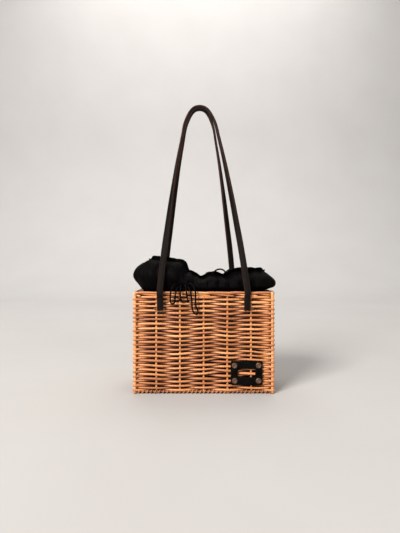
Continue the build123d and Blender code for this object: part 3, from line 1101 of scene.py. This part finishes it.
RUFFLE_HALF_Y = 29 * MM
CLOTH_THICKNESS = 0.5 * MM


def ring_point(share, half_x, half_y):
    """A point round a rounded oblong with straight sides."""
    angle = share * math.tau
    c = math.cos(angle)
    s = math.sin(angle)
    power = 2 / 5.0
    x = math.copysign(abs(c) ** power, c) * half_x
    y = math.copysign(abs(s) ** power, s) * half_y
    return x, y


def even_shares(count, half_x, half_y):
    """Shares of the full turn that put points evenly round the oblong."""
    fine = 7200
    points = [ring_point(i / fine, half_x, half_y) for i in range(fine + 1)]
    run = [0.0]
    for (xa, ya), (xb, yb) in zip(points, points[1:]):
        run.append(run[-1] + math.hypot(xb - xa, yb - ya))
    shares = []
    k = 0
    for i in range(count):
        goal = run[-1] * i / count
        while run[k + 1] < goal:
            k += 1
        shares.append((k + (goal - run[k]) / (run[k + 1] - run[k])) / fine)
    return shares


def fold(u, v, turns, sway, layer):
    """The height of one set of gathers from -1 to 1: round ridges with narrow valleys."""
    bend = sway * ring_wave(u, turns * 0.45, layer) + 0.35 * wander(v * 5.0, layer * 3.3, u * 9)
    wave = math.sin(math.tau * turns * u + bend * 3.0)
    strength = 0.65 + 0.45 * ring_wave(u, turns * 0.3, layer + 9)
    return (2 * (0.5 + 0.5 * wave) ** 0.6 - 1) * strength


def collar():
    """The gathered cotton that stands out of the basket: a puffed roll, a neck and a ruffle."""
    bm = new_rods()
    shares = even_shares(COLLAR_COLUMNS, 112.0, 42.0)
    sides = []
    for rings in (COLLAR_RINGS_LEFT, COLLAR_RINGS_RIGHT):
        lines = [[(stop[0], stop[k]) for stop in rings] for k in (1, 2, 3)]
        heights = [row / COLLAR_ROWS for row in range(COLLAR_ROWS + 1)]
        sides.append([[through(line, v) for line in lines] for v in heights])

    def place(u, v):
        share = shares[round(u * COLLAR_COLUMNS) % COLLAR_COLUMNS]
        row = round(v * COLLAR_ROWS)
        x, y = ring_point(share, RUFFLE_HALF_X, RUFFLE_HALF_Y)
        to_right = smooth((x + 50 * MM) / (60 * MM))
        height = top_height(max(x, -101 * MM))
        half_x, half_y, level = (
            blend(a, b, to_right) for a, b in zip(sides[0][row], sides[1][row])
        )
        x, y = ring_point(share, half_x * MM, half_y * MM)
        z = level * height
        out = Vector((x / half_x**2, y / half_y**2, 0)).normalized()
        neck = hump(v, 0.66, 0.09)
        belly = hump(v, 0.36, 0.17)
        ruffle = smooth((v - 0.70) / 0.22)
        fine = fold(u, v, 78, 0.6, 1)
        broad = fold(u, v, 30, 0.9, 2)
        edge = fold(u, v, 27, 1.0, 3)
        free = smooth((v - 0.08) / 0.10)
        push = 1.0 * neck * fine + 2.0 * belly * broad + (2.4 * edge + 0.7 * fine) * ruffle
        lump = 2.6 * belly * wander(x * 32, y * 32, v * 2.6) + 2.0 * ruffle * ring_wave(u, 11, 6)
        point = Vector((x, y, RIM + z)) + out * (push + lump) * free * MM
        point.z += (1.6 * ruffle * ring_wave(u, 16, 7) + 1.0 * ruffle * edge) * free * MM
        point.z += 2.0 * belly * wander(x * 26 + 5, y * 26, 2) * free * MM
        return point

    skin(bm, COLLAR_COLUMNS, COLLAR_ROWS, place, 0.0, True, False, COLLAR_GRAIN_SIZE)
    knot_at = centre("bow_knot")
    for vert in bm.verts:
        keep_clear(vert, knot_at)
    bmesh.ops.recalc_face_normals(bm, faces=bm.faces)
    piece = finish_piece("gathered_collar", bm, COTTON, "basket", ("collar",))
    thicken(piece, 0.0)


def thicken(piece, offset):
    """Gives a sheet its cloth's thickness."""
    cloth = piece.modifiers.new("cloth_thickness", "SOLIDIFY")
    cloth.thickness = CLOTH_THICKNESS
    cloth.offset = offset


def ring_wave(u, turns, layer):
    """Smooth noise that joins up after one turn of u."""
    reach = turns / math.tau
    x = math.cos(u * math.tau) * reach + layer * 17.3
    return wander(x, math.sin(u * math.tau) * reach, layer * 3.7)


KNOT_CLEAR = 7.0 * MM
STRAND_CLEAR = 3.4 * MM
RIM_CLEAR = 0.6 * MM
BOW_SPOTS = [
    Vector(spot) * MM + BOW_ORIGIN
    for route in BOW_ROUTES.values()
    for spot in route
    if spot[2] > -2 and spot[1] > -5
]


def keep_clear(vert, knot_at):
    """Presses the cloth back from the bow, its strands and the rim."""
    gap = (vert.co - knot_at).length
    if gap < KNOT_CLEAR:
        vert.co.y += KNOT_CLEAR - gap
    for spot in BOW_SPOTS:
        gap = (vert.co - spot).length
        if gap < STRAND_CLEAR:
            vert.co.y += (STRAND_CLEAR - gap) * 1.2
            vert.co.z -= (STRAND_CLEAR - gap) * 0.5
    if abs(vert.co.y) > 45.5 * MM or abs(vert.co.x) > 109.5 * MM:
        vert.co.z = max(vert.co.z, RIM + RIM_CLEAR)


def lining():
    """The sewn cotton bag inside the basket, slightly slack."""
    low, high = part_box("lining")
    bm = bmesh.new()
    bm.loops.layers.uv.new("grain")
    bmesh.ops.create_cube(bm, size=1.0, calc_uvs=True)
    bmesh.ops.scale(bm, vec=high - low, verts=bm.verts)
    bmesh.ops.translate(bm, vec=(low + high) / 2, verts=bm.verts)
    top = [face for face in bm.faces if face.normal.z > 0.5]
    bmesh.ops.delete(bm, geom=top, context="FACES_ONLY")
    bmesh.ops.subdivide_edges(bm, edges=bm.edges[:], cuts=31, use_grid_fill=True)
    middle = (low + high) / 2
    for vert in bm.verts:
        inward = middle - vert.co
        inward.z *= 0.2
        slack = 0.5 + 0.5 * wander(vert.co.x * 24, vert.co.y * 24, vert.co.z * 16)
        vert.co += inward.normalized() * slack * 2.6 * MM
        vert.co.z = max(vert.co.z, low.z)
    bmesh.ops.recalc_face_normals(bm, faces=bm.faces)
    piece = finish_piece("lining_bag", bm, COTTON, "basket", ("lining",))
    thicken(piece, -1.0)


# ------------------------------------------------------- frame and its rivets


def leather_frame():
    """The black leather frame: rounded cut edges, a creased border and a window."""
    low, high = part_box("leather_frame")
    middle = (low + high) / 2
    size = high - low
    window = Vector((29.6, 0, 13.7)) * MM
    corner = 2.4 * MM
    crease_width = 0.45 * MM
    bm = bmesh.new()
    bmesh.ops.create_grid(bm, x_segments=54, y_segments=42, size=0.5)
    bmesh.ops.rotate(bm, matrix=Matrix.Rotation(math.radians(90), 3, "X"), verts=bm.verts)
    bmesh.ops.scale(bm, vec=(size.x, 1, size.z), verts=bm.verts)
    for sign in (-1, 1):
        for axis, half in ((RIGHT, window.x / 2), (UP, window.z / 2)):
            bmesh.ops.bisect_plane(
                bm,
                geom=bm.verts[:] + bm.edges[:] + bm.faces[:],
                plane_co=axis * sign * half,
                plane_no=axis,
            )
    hole = []
    for face in bm.faces:
        spot = face.calc_center_median()
        if abs(spot.x) < window.x / 2 and abs(spot.z) < window.z / 2:
            hole.append(face)
    bmesh.ops.delete(bm, geom=hole, context="FACES")
    bmesh.ops.solidify(bm, geom=bm.faces[:], thickness=size.y)
    bmesh.ops.recalc_face_normals(bm, faces=bm.faces)
    front = min(vert.co.y for vert in bm.verts)
    deep = max(vert.co.y for vert in bm.verts)
    for vert in bm.verts:
        outer = min(size.x / 2 - abs(vert.co.x), size.z / 2 - abs(vert.co.z))
        inner = max(abs(vert.co.x) - window.x / 2, abs(vert.co.z) - window.z / 2)
        edge = min(outer, inner)
        if vert.co.y < (front + deep) / 2:
            vert.co.y += 0.7 * MM * (1 - smooth(edge / (1.6 * MM)))
            creases = hump(outer, 3.0 * MM, crease_width) + hump(inner, 2.4 * MM, crease_width)
            vert.co.y += 0.28 * MM * creases
            vert.co.y += 0.15 * MM * wander(vert.co.x * 110, vert.co.z * 110)
    for vert in bm.verts:
        over_x = abs(vert.co.x) - (size.x / 2 - corner)
        over_z = abs(vert.co.z) - (size.z / 2 - corner)
        if over_x > 0 and over_z > 0:
            scale = max(over_x, over_z) / math.hypot(over_x, over_z)
            vert.co.x = math.copysign(size.x / 2 - corner + over_x * scale, vert.co.x)
            vert.co.z = math.copysign(size.z / 2 - corner + over_z * scale, vert.co.z)
    shift = Vector((middle.x, high.y - deep, middle.z))
    bmesh.ops.translate(bm, vec=shift, verts=bm.verts)
    finish_piece("leather_frame_skin", bm, PATCH, "basket", ("leather_frame",))


def rivets():
    """Four domed ring rivets with a sunk middle."""
    low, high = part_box("frame_rivets")
    radius = 4.95 * MM
    sunk = 2.5 * MM
    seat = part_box("leather_frame")[0].y
    # Distance from the middle and height above the leather.
    profile = [
        (0.0, 1.05), (1.1, 1.10), (2.2, 1.0), (2.55, 1.1), (2.75, 1.55), (3.15, 1.80),
        (3.7, 1.78), (4.3, 1.42), (4.75, 0.85), (4.95, 0.25), (4.95, -0.2),
    ]
    spots = [
        Vector((x, seat, z))
        for x in (low.x + radius, high.x - radius)
        for z in (low.z + radius, high.z - radius)
    ]
    bm = bmesh.new()
    for spot in spots:
        verts = [bm.verts.new(spot + Vector((r, -h, 0)) * MM) for r, h in profile]
        edges = [bm.edges.new(pair) for pair in zip(verts, verts[1:])]
        turn = {"cent": spot, "axis": BACK, "angle": math.tau, "steps": 32}
        bmesh.ops.spin(bm, geom=verts + edges, use_merge=True, **turn)
    bmesh.ops.remove_doubles(bm, verts=bm.verts, dist=1e-6)
    bmesh.ops.recalc_face_normals(bm, faces=bm.faces)
    piece = finish_piece("rivet_caps", bm, BRASS, "basket", ("frame_rivets",))
    piece.data.materials.append(ENAMEL)
    for face in piece.data.polygons:
        middle = face.center
        if any(math.hypot(middle.x - spot.x, middle.z - spot.z) < sunk for spot in spots):
            face.material_index = 1
    give_finish("frame_washers", BRASS)


def finish_lashings():
    """Gives the thread lashings their finish."""
    for name in frame["nodes"]:
        if name.startswith("lashing"):
            give_finish(name, THREAD)


stage()
lights_and_camera()
upright_rods()
weave()
border()
floor()
strap("strap_front", "front_strap", 0.0, 73.7 * MM, 30.0 * MM, -1)
strap("strap_back", "back_strap", -9.0 * MM, 68.0 * MM, 43.0 * MM, 1)
cords()
collar()
lining()
leather_frame()
rivets()
finish_lashings()
